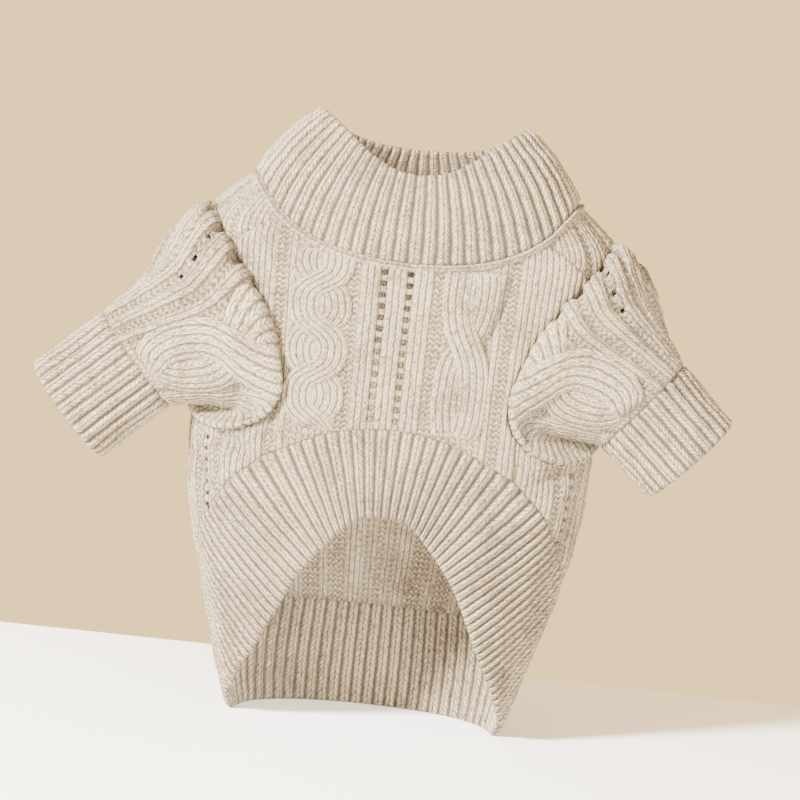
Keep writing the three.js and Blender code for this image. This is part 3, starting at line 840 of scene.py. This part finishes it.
def sleeve_pattern(w, r, u, v):
    x = np.minimum(w, sleeve_wales - w)
    gutters = zones(x, (1.6, 2.8), (5.2, 6.6), (9.2, 10.6), (12.2, 13.2), (23.2, 24.6))
    purl = np.clip(gutters + 0.6 * zones(x, (13.2, 23.2)), 0, 1)
    ridges = 1.2 * zones(x, (2.8, 5.2), (6.6, 9.2), (10.6, 12.2)) + 0.6 * zones(x, (-2, 1.6))
    turn = 2 * np.pi * u
    loose = 0.6 * wander(50 * np.cos(turn), 50 * np.sin(turn) + 9 * r, 3.0)
    return stitch_relief(w, r, purl) + ridges - 0.8 * np.clip(gutters, 0, 1) + loose, purl


def sleeve_window(side):
    """All of the sleeve but three eyelets in a gutter."""
    column = 5 if side > 0 else sleeve_wales - 6

    def keep(u, v):
        wale_number, row = np.floor(u * sleeve_wales), np.floor(v * sleeve_rows)
        inner_part = (fraction(u * sleeve_wales) < 0.67) & (fraction(v * sleeve_rows) < 0.67)
        return ~((wale_number == column) & (row > 8) & (row < 18) & (row % 3 == 0) & inner_part)

    return keep


# %% Creases of the sleeves as side, width, depth, and places by share round and share along
for side, width, depth, line in [
    (-1, 3.2, -2.6, [[0.45, 0.16], [0.42, 0.34], [0.38, 0.52]]),
    (-1, 4.5, 1.6, [[0.36, 0.12], [0.35, 0.3], [0.31, 0.48]]),
    (-1, 3.0, -2.2, [[0.2, 0.08], [0.19, 0.26], [0.22, 0.42]]),
    (-1, 5.0, 1.4, [[0.12, 0.1], [0.1, 0.32], [0.12, 0.55]]),
    (-1, 3.4, -1.2, [[0.02, 0.12], [0.04, 0.36], [0.02, 0.6]]),
    (-1, 4.2, -1.5, [[0.56, 0.2], [0.59, 0.42], [0.57, 0.66]]),
    (-1, 5.4, 1.3, [[0.84, 0.15], [0.86, 0.42], [0.83, 0.7]]),
    (1, 3.4, -2.5, [[0.43, 0.14], [0.41, 0.3], [0.36, 0.46]]),
    (1, 4.6, 1.5, [[0.33, 0.1], [0.33, 0.27], [0.29, 0.45]]),
    (1, 2.8, -2.0, [[0.18, 0.09], [0.2, 0.24], [0.18, 0.44]]),
    (1, 5.2, 1.2, [[0.1, 0.16], [0.08, 0.4], [0.1, 0.62]]),
    (1, 3.6, -1.2, [[0.98, 0.14], [0.01, 0.38], [0.99, 0.58]]),
    (1, 4.4, -1.4, [[0.58, 0.2], [0.6, 0.44], [0.57, 0.7]]),
    (1, 5.0, 1.2, [[0.82, 0.12], [0.85, 0.4], [0.84, 0.66]]),
]:
    at = np.array(line)
    creases.append((width, depth, sleeve_point(side)((at[:, 0] * side) % 1, at[:, 1])))
print("creases in all:", len(creases))

# %% Knit both sleeves and both cuffs
sleeves, cuffs = {}, {}
for side, word in ((-1, "left"), (1, "right")):
    sleeves[side] = measure(knit_shell(f"sleeve_{word}_knit", tube(sleeve_point(side)), sleeve_wales,
                                       sleeve_rows, sleeve_pattern, wrap=True,
                                       window=sleeve_window(side)))
    cuffs[side] = measure(knit_shell(f"cuff_{word}_rib", tube(cuff_point(side)), cuff_ribs * 2, 15,
                                     rib_pattern(), wrap=True))

# %% [markdown]
# ## Cables
# To work a cable, the knitter crosses two groups of five wales over each other every few rows.
# Each group is its own strip of knitting, so each strand here is its own small shell that winds
# from side to side on the panel. One strand keeps passing over the other.

# %% Strands that wind over a surface
strand_width, strand_wales = 17.0, 5


def strand(name, on_cloth, low, high, swing, period, phase, over, crown=2.2,
           width=strand_width, wales=strand_wales):
    """on_cloth(across, along) gives the cloth under a point given from the cable's middle.
    The strand's rows turn with its slant, and it stands over or under at each crossing."""
    rows = max(4, round((high - low) / course))

    def path(along):
        return swing * np.tanh(1.3 * np.cos(2 * np.pi * (along - phase) / period)) / np.tanh(1.3)

    def surface(u, v):
        along = low + (high - low) * v
        x = 2 * u - 1
        slope = path(along + 0.5) - path(along - 0.5)
        straight = 1 / np.sqrt(1 + slope**2)
        ends = ease((along - low) / 6) * ease((high - along) / 6)
        middle, normal = on_cloth(path(along) + x * (0.15 + 0.85 * straight) * width / 2,
                                  along - 0.6 * x * slope * straight * ends * width / 2)
        crossing = 1 - np.abs(path(along) / swing)
        arch_over = crown * np.clip(1 - x * x, 0, 1) ** 0.42 * ends
        lift = arch_over + over * crossing * ends - 0.3
        return middle + normal * lift[:, None], normal

    def pattern(w, r, u, v):
        return stitch_relief(w, r, 0 * w), 0 * w

    return knit_shell(name, surface, wales, rows, pattern, fine=(4, 3), thick=1.6)


def on_panel(panel, cable_wale, sign=1):
    """Cloth under a cable of a straight panel: a length across and a height."""
    middle = panel.start + (cable_wale + 0.5) * wale

    def cloth_at(across, along):
        place = places(np.interp(middle + sign * across, panel.lengths, panel.turns), along)
        return torso(place), torso_normal(place)

    return cloth_at


def cable(name, on_cloth, low, high, swing=7.6, period=50.0, phase=0.0, over=1.7,
          under=-1.5):
    return [strand(f"{name}_over", on_cloth, low, high, swing, period, phase, over),
            strand(f"{name}_under", on_cloth, low, high, swing, period, phase + period / 2, under)]


def joined(name, parts):
    """One object out of several, with their UV maps and attributes."""
    with bpy.context.temp_override(active_object=parts[0], selected_editable_objects=parts,
                                   selected_objects=parts):
        bpy.ops.object.join()
    parts[0].name = parts[0].data.name = name
    return parts[0]


front_cables = joined("front_cables", [
    *cable("front_left", on_panel(front, 31 - 11.5), 147, 236, swing=7.8, period=43.8, phase=185.6),
    *cable("front_right", on_panel(front, 31 + 11.5), 149, 233, swing=6.0, period=104, phase=169.5),
])
back_cables = joined("back_cables", [
    *cable("back_left", on_panel(back, 63 - 11.5), 55, 254, period=44.5, phase=8),
    *cable("back_right", on_panel(back, 63 + 11.5), 55, 254, period=46, phase=21),
])

# %% Chain stitch along the neckline
neck_length, below_seam = 438.0, 1.6


def on_neckline(across, along):
    """Cloth under the chain that joins collar and panels, just below the seam."""
    def at(share):
        return torso(neckline(neck_place(share % 1)))

    share = along / neck_length
    normal = torso_normal(neckline(neck_place(share % 1)))
    sideways = unit(np.cross(normal, at(share + 0.002) - at(share - 0.002)))
    return at(share) + sideways * (across - below_seam)[:, None], normal


# One strand that hardly swings, and runs on over its own start by a hundredth.
neck_seam = strand("neck_seam", on_neckline, 0.0, neck_length * 1.01, swing=1e-6,
                   period=1e6, phase=0, over=0, crown=2.5, width=4.0, wales=1)

# %% Cables of the sleeves
def on_sleeve(side, share):
    """Cloth under a cable of a sleeve. across runs round the sleeve, along down it."""
    girth, length = 160.0, 66.0
    point = sleeve_point(side)

    def cloth_at(across, along):
        u, v = (share + across / girth) * side, along / length
        return point(u, v), point_normal(point, u, v, 0.004, 0.02)

    return cloth_at


sleeve_cables = {}
for side, word in ((-1, "left"), (1, "right")):
    sleeve_cables[side] = joined(f"sleeve_{word}_cables", [
        part for k, share in enumerate((0.285, 0.715))
        for part in cable(f"sleeve_{word}_{k}", on_sleeve(side, share), 5, 64, swing=8.5,
                          period=64, phase=14 - 6 * k)])
for piece in (front_cables, back_cables, neck_seam, *sleeve_cables.values()):
    measure(piece)

# %% [markdown]
# ## Oatmeal wool
# Wool is matte, a little hairy, and never one colour: pale and darker fibres are carded
# together, so it looks heathered. A picture of yarn would stretch wherever the cloth bends, so
# the shader draws the two legs of each stitch as bumps from the stitches map, adds fibre noise
# in Object coordinates, and paints shade into the colour between the legs and on the purl
# stitches that lie back, where yarn shades yarn.

# %% Node helpers
def node(tree, kind, settings=None, **inputs):
    made = tree.nodes.new(kind)
    for key, value in (settings or {}).items():
        setattr(made, key, value)
    for key, value in inputs.items():
        socket = made.inputs[int(key[1:])] if key[0] == "i" and key[1:].isdigit() else made.inputs[key]
        if isinstance(value, bpy.types.NodeSocket):
            tree.links.new(value, socket)
        else:
            socket.default_value = value
    return made


def colour_ramp(tree, factor, first, last, *others):
    """Colours at positions: first and last as (position, colour), and any between them."""
    made = node(tree, "ShaderNodeValToRGB", None, Fac=factor)
    stops = made.color_ramp.elements
    for stop, (position, colour) in zip(stops, (first, last)):
        stop.position, stop.color = position, (*colour, 1)
    for position, colour in others:
        stops.new(position).color = (*colour, 1)
    return made.outputs[0]


def multiplied(tree, amount, colour, by):
    return node(tree, "ShaderNodeMix", {"data_type": "RGBA", "blend_type": "MULTIPLY"},
                i0=amount, i6=colour, i7=by).outputs[2]


# %% The wool shader
def wool(name, pale, dark, purl_shade, ribbed=False, depth=0.0022):
    """In ribs the face stitches fill most of the width and hide the purl ones between them."""
    material = bpy.data.materials.new(name)
    material.use_nodes = True
    tree = material.node_tree
    shader = tree.nodes["Principled BSDF"]

    def sum_of(operation, *values):
        inputs = {f"i{k}": value for k, value in enumerate(values)}
        return node(tree, "ShaderNodeMath", {"operation": operation}, **inputs).outputs[0]

    def scaled(x, by, plus):
        return sum_of("MULTIPLY_ADD", x, by, plus)

    def wave(x, power):
        """Rounded ridges, one for each whole number, with sharp valleys between them."""
        return sum_of("POWER", sum_of("ABSOLUTE", sum_of("SINE", sum_of(
            "MULTIPLY", x, math.pi))), power)

    def noise(output, scale, detail, **settings):
        return node(tree, "ShaderNodeTexNoise", None, Vector=where, Scale=scale, Detail=detail,
                    **settings).outputs[output]

    # Where a point lies, in wales across and rows along, with the slack of hand-spun yarn.
    where = node(tree, "ShaderNodeTexCoord").outputs["Object"]
    uneven = node(tree, "ShaderNodeSeparateColor", None, Color=noise("Color", 210.0, 1.0)).outputs
    uv = node(tree, "ShaderNodeUVMap", {"uv_map": "stitches"}).outputs[0]
    purl = node(tree, "ShaderNodeAttribute", {"attribute_name": "purl"}).outputs["Fac"]
    split = node(tree, "ShaderNodeSeparateXYZ", i0=uv).outputs
    across = scaled(uneven[0], 0.3, sum_of("SUBTRACT", split[0], 0.15))
    along = scaled(uneven[1], 0.9, split[1])
    if ribbed:
        rib = scaled(across, 0.5, 0.25)
        along = scaled(sum_of("FLOOR", rib), 0.37, along)
        across = scaled(sum_of("FRACT", rib), 1.2, -0.1)
        across = sum_of("MINIMUM", sum_of("MAXIMUM", across, 0.001), 0.999)

    # A face stitch is two slanting legs, so its rows climb away from the middle of the wale.
    aside = sum_of("ABSOLUTE", scaled(sum_of("FRACT", across), 2.0, -1.0))
    legs = wave(sum_of("MULTIPLY", across, 2.0), 1.0)
    if not ribbed:
        legs = sum_of("MULTIPLY", wave(across, 0.8), scaled(legs, 0.6, 0.5))
    steps = wave(scaled(aside, 1.3, along), 1.1)
    face = sum_of("MULTIPLY", legs, scaled(steps, 0.7, 0.3))

    # A purl stitch is a short level bar, and the bars of neighbouring wales are out of step.
    bend = sum_of("MULTIPLY", sum_of("COSINE", sum_of("MULTIPLY", across, 2 * math.pi)), 0.24)
    bars = wave(sum_of("ADD", along, bend), 1.0)
    bars = sum_of("MULTIPLY", bars, scaled(wave(across, 0.5), 0.45, 0.35))
    stitch = face if ribbed else node(tree, "ShaderNodeMix", {"data_type": "FLOAT"},
                                      i0=purl, i2=face, i3=bars).outputs[0]

    # Fibres for the bump, and pale and dark ones mixed, with a slow cloud over them.
    fibres = noise("Fac", 1000.0, 3.0, Roughness=0.7, Distortion=1.2)
    heather = noise("Fac", 540.0, 4.0, Roughness=0.8, Distortion=0.8)
    cloud = noise("Fac", 45.0, 2.0)
    shade = scaled(heather, 1.0, scaled(cloud, 0.3, -0.15))
    heathered = colour_ramp(tree, shade, (0.37, dark), (0.57, pale))
    # Painted shade: the colour darkens where the stitch height falls, between the legs and the purl
    # bars, where yarn shades yarn.
    gap_shade = colour_ramp(tree, stitch, (0.0, (0.16, 0.12, 0.08)), (0.8, (1, 1, 1)),
                       (0.35, (0.54, 0.48, 0.40)))
    colour = multiplied(tree, 1.0, heathered, gap_shade)
    # Painted shade: purl stitches, which lie back behind the face stitches, are tinted darker, and with
    # them most of the wrong side of the cloth.
    colour = multiplied(tree, purl, colour, (*purl_shade, 1))
    height = scaled(fibres, 1.2, stitch)
    bump = node(tree, "ShaderNodeBump", None, Strength=1.0, Distance=depth, Height=height)
    tree.links.new(colour, shader.inputs["Base Color"])
    tree.links.new(bump.outputs[0], shader.inputs["Normal"])
    for socket, value in {"Roughness": 0.92, "Specular IOR Level": 0.25, "Sheen Weight": 0.2,
                          "Sheen Roughness": 0.45, "Sheen Tint": (1.0, 0.92, 0.78, 1)}.items():
        shader.inputs[socket].default_value = value
    return material


pale, dark = (0.71, 0.605, 0.42), (0.21, 0.158, 0.095)
# The last colour of each finish is painted shade for its purl stitches, deeper on the cable knit than on
# the ribs.
finishes = {
    "cable_knit": wool("oatmeal_cable_knit", pale, dark, purl_shade=(0.70, 0.665, 0.62)),
    "rib_knit": wool("oatmeal_rib_knit", pale, dark, purl_shade=(0.80, 0.77, 0.73), ribbed=True),
}
print("materials:", *(m.name for m in finishes.values()))

# %% [markdown]
# ## Everything on its place
# The visual pieces stand for the CAD nodes of the same pieces and ride on the one body of the
# part, so that the knitting goes wherever the part goes.

# %% Ride, replace and finish
dressed = [
    (front_panel, "front_panel", "cable_knit"), (back_panel, "back_panel", "cable_knit"),
    (belly_band, "belly_band", "rib_knit"), (back_band, "back_band", "rib_knit"),
    (collar, "collar", "rib_knit"),
    (sleeves[-1], "sleeve_left", "cable_knit"), (sleeves[1], "sleeve_right", "cable_knit"),
    (cuffs[-1], "cuff_left", "rib_knit"), (cuffs[1], "cuff_right", "rib_knit"),
]
trimmings = [(piece, "cable_knit") for piece in (front_cables, back_cables, *sleeve_cables.values())]
trimmings.append((neck_seam, "rib_knit"))
for piece, cad_node, _ in dressed:
    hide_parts(cad_node)
for piece, finish in [*((piece, finish) for piece, _, finish in dressed), *trimmings]:
    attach(piece, "root")
    piece.data.materials.clear()
    piece.data.materials.append(finishes[finish])

# %% [markdown]
# ## Floor, light and camera
# The sweater stands on a plain pale table. A soft light high on the left stands for a window
# and brings out the ribs, a broad weak one fills from the right, and a warm pale world stands
# for the room.

# %% Stage
half_table, table_back, table_front = 1.6, 0.16, -1.4
stage_mesh = bpy.data.meshes.new("floor")
floor_build = bmesh.new()
bmesh.ops.create_grid(floor_build, x_segments=1, y_segments=1, size=1.0)
for v in floor_build.verts:
    v.co = Vector((v.co.x * half_table, table_back if v.co.y > 0 else table_front, 0.0))
floor_build.to_mesh(stage_mesh)
floor_build.free()
floor = add_object("floor", stage_mesh)
paint = bpy.data.materials.new("table_paint")
paint.use_nodes = True
paint_shader = paint.node_tree.nodes["Principled BSDF"]
paint_shader.inputs["Base Color"].default_value = (0.95, 0.95, 0.95, 1)
paint_shader.inputs["Roughness"].default_value = 0.6
stage_mesh.materials.append(paint)
floor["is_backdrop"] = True
print("table, m:", 2 * half_table, "by", round(table_back - table_front, 2))

# %% Lights and the room
def soft_light(name, place, target, size, power, colour):
    data = bpy.data.lights.new(name, "AREA")
    data.shape, data.size, data.energy, data.color = "DISK", size, power, colour
    lamp = add_object(name, data)
    lamp.location = place
    lamp.rotation_euler = (Vector(target) - Vector(place)).to_track_quat("-Z", "Y").to_euler()


soft_light("window", (-1.3, -1.25, 1.0), (0, 0, 0.17), 0.35, 350, (1.0, 0.975, 0.93))
soft_light("fill", (0.5, -1.7, 0.25), (0, 0, 0.12), 0.9, 85, (0.99, 0.98, 0.97))
# Thin wool lets some light through, so the inside is never quite dark.
glow = bpy.data.lights.new("glow", "POINT")
glow.energy, glow.color, glow.shadow_soft_size = 0.8, (1.0, 0.93, 0.82), 0.03
add_object("glow", glow).location = (0.004, 0.0, 0.15)
world = bpy.data.worlds.new("room")
world.use_nodes = True
air = world.node_tree.nodes["Background"]
air.inputs["Color"].default_value = (1.0, 0.685, 0.30, 1)
air.inputs["Strength"].default_value = 1.9
bpy.context.scene.world = world

# %% Camera at the photograph's angle, rolled a little
camera_data = bpy.data.cameras.new("camera")
camera_data.sensor_width, camera_data.lens = 36, 116
camera = add_object("camera", camera_data)
target, distance = Vector((0.0088, 0.0, 0.1625)), 1.3
elevation, roll = math.radians(4.3), math.radians(6.1)
camera.location = target + distance * Vector((0, -math.cos(elevation), math.sin(elevation)))
look = Matrix.Rotation(math.pi / 2 - elevation, 4, "X") @ Matrix.Rotation(roll, 4, "Z")
camera.rotation_euler = look.to_euler()
bpy.context.scene.camera = camera
print("camera:", [round(x, 3) for x in camera.location])

# %% [markdown]
# ## Sheets of cloth
# A dressmaker needs the size of each piece before it is bent round the body. These sizes come
# from the lengths of the seam lines and from the smooth area between them. The collar's is the
# half that shows: its whole cut is twice as long, because it is folded in.

# %% Cut sizes of every sheet
# Cut sizes in metres: width, length, area, what the piece rests on, and what is knitted on to it.
cuts = {
    "front_panel": (0.182, 0.119, 0.0128, "belly_band_rib", [front_cables]),
    "back_panel": (0.396, 0.218, 0.0564, "back_band_rib", [back_cables]),
    "belly_band": (0.327, 0.063, 0.0149, "back_band_rib", []),
    "back_band": (0.216, 0.057, 0.0112, "floor", []),
    "collar": (0.438, 0.054, 0.0165, "back_panel_knit", [neck_seam]),
    "sleeve_left": (0.277, 0.089, 0.0125, "back_panel_knit", [sleeve_cables[-1]]),
    "sleeve_right": (0.277, 0.081, 0.0116, "back_panel_knit", [sleeve_cables[1]]),
    "cuff_left": (0.147, 0.044, 0.0063, "sleeve_left_knit", []),
    "cuff_right": (0.147, 0.039, 0.0053, "sleeve_right_knit", []),
}
for piece, cad_node, _ in dressed:
    width, length, area, under, knitted_on = cuts[cad_node]
    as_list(knitted_on)
print("sheets:", len(cuts), "of", round(sum(cut[2] for cut in cuts.values()), 4), "square metres")

# %% Sizes, and the end
low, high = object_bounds()
print("visual box:", [round(x, 4) for x in (*low, *high)])
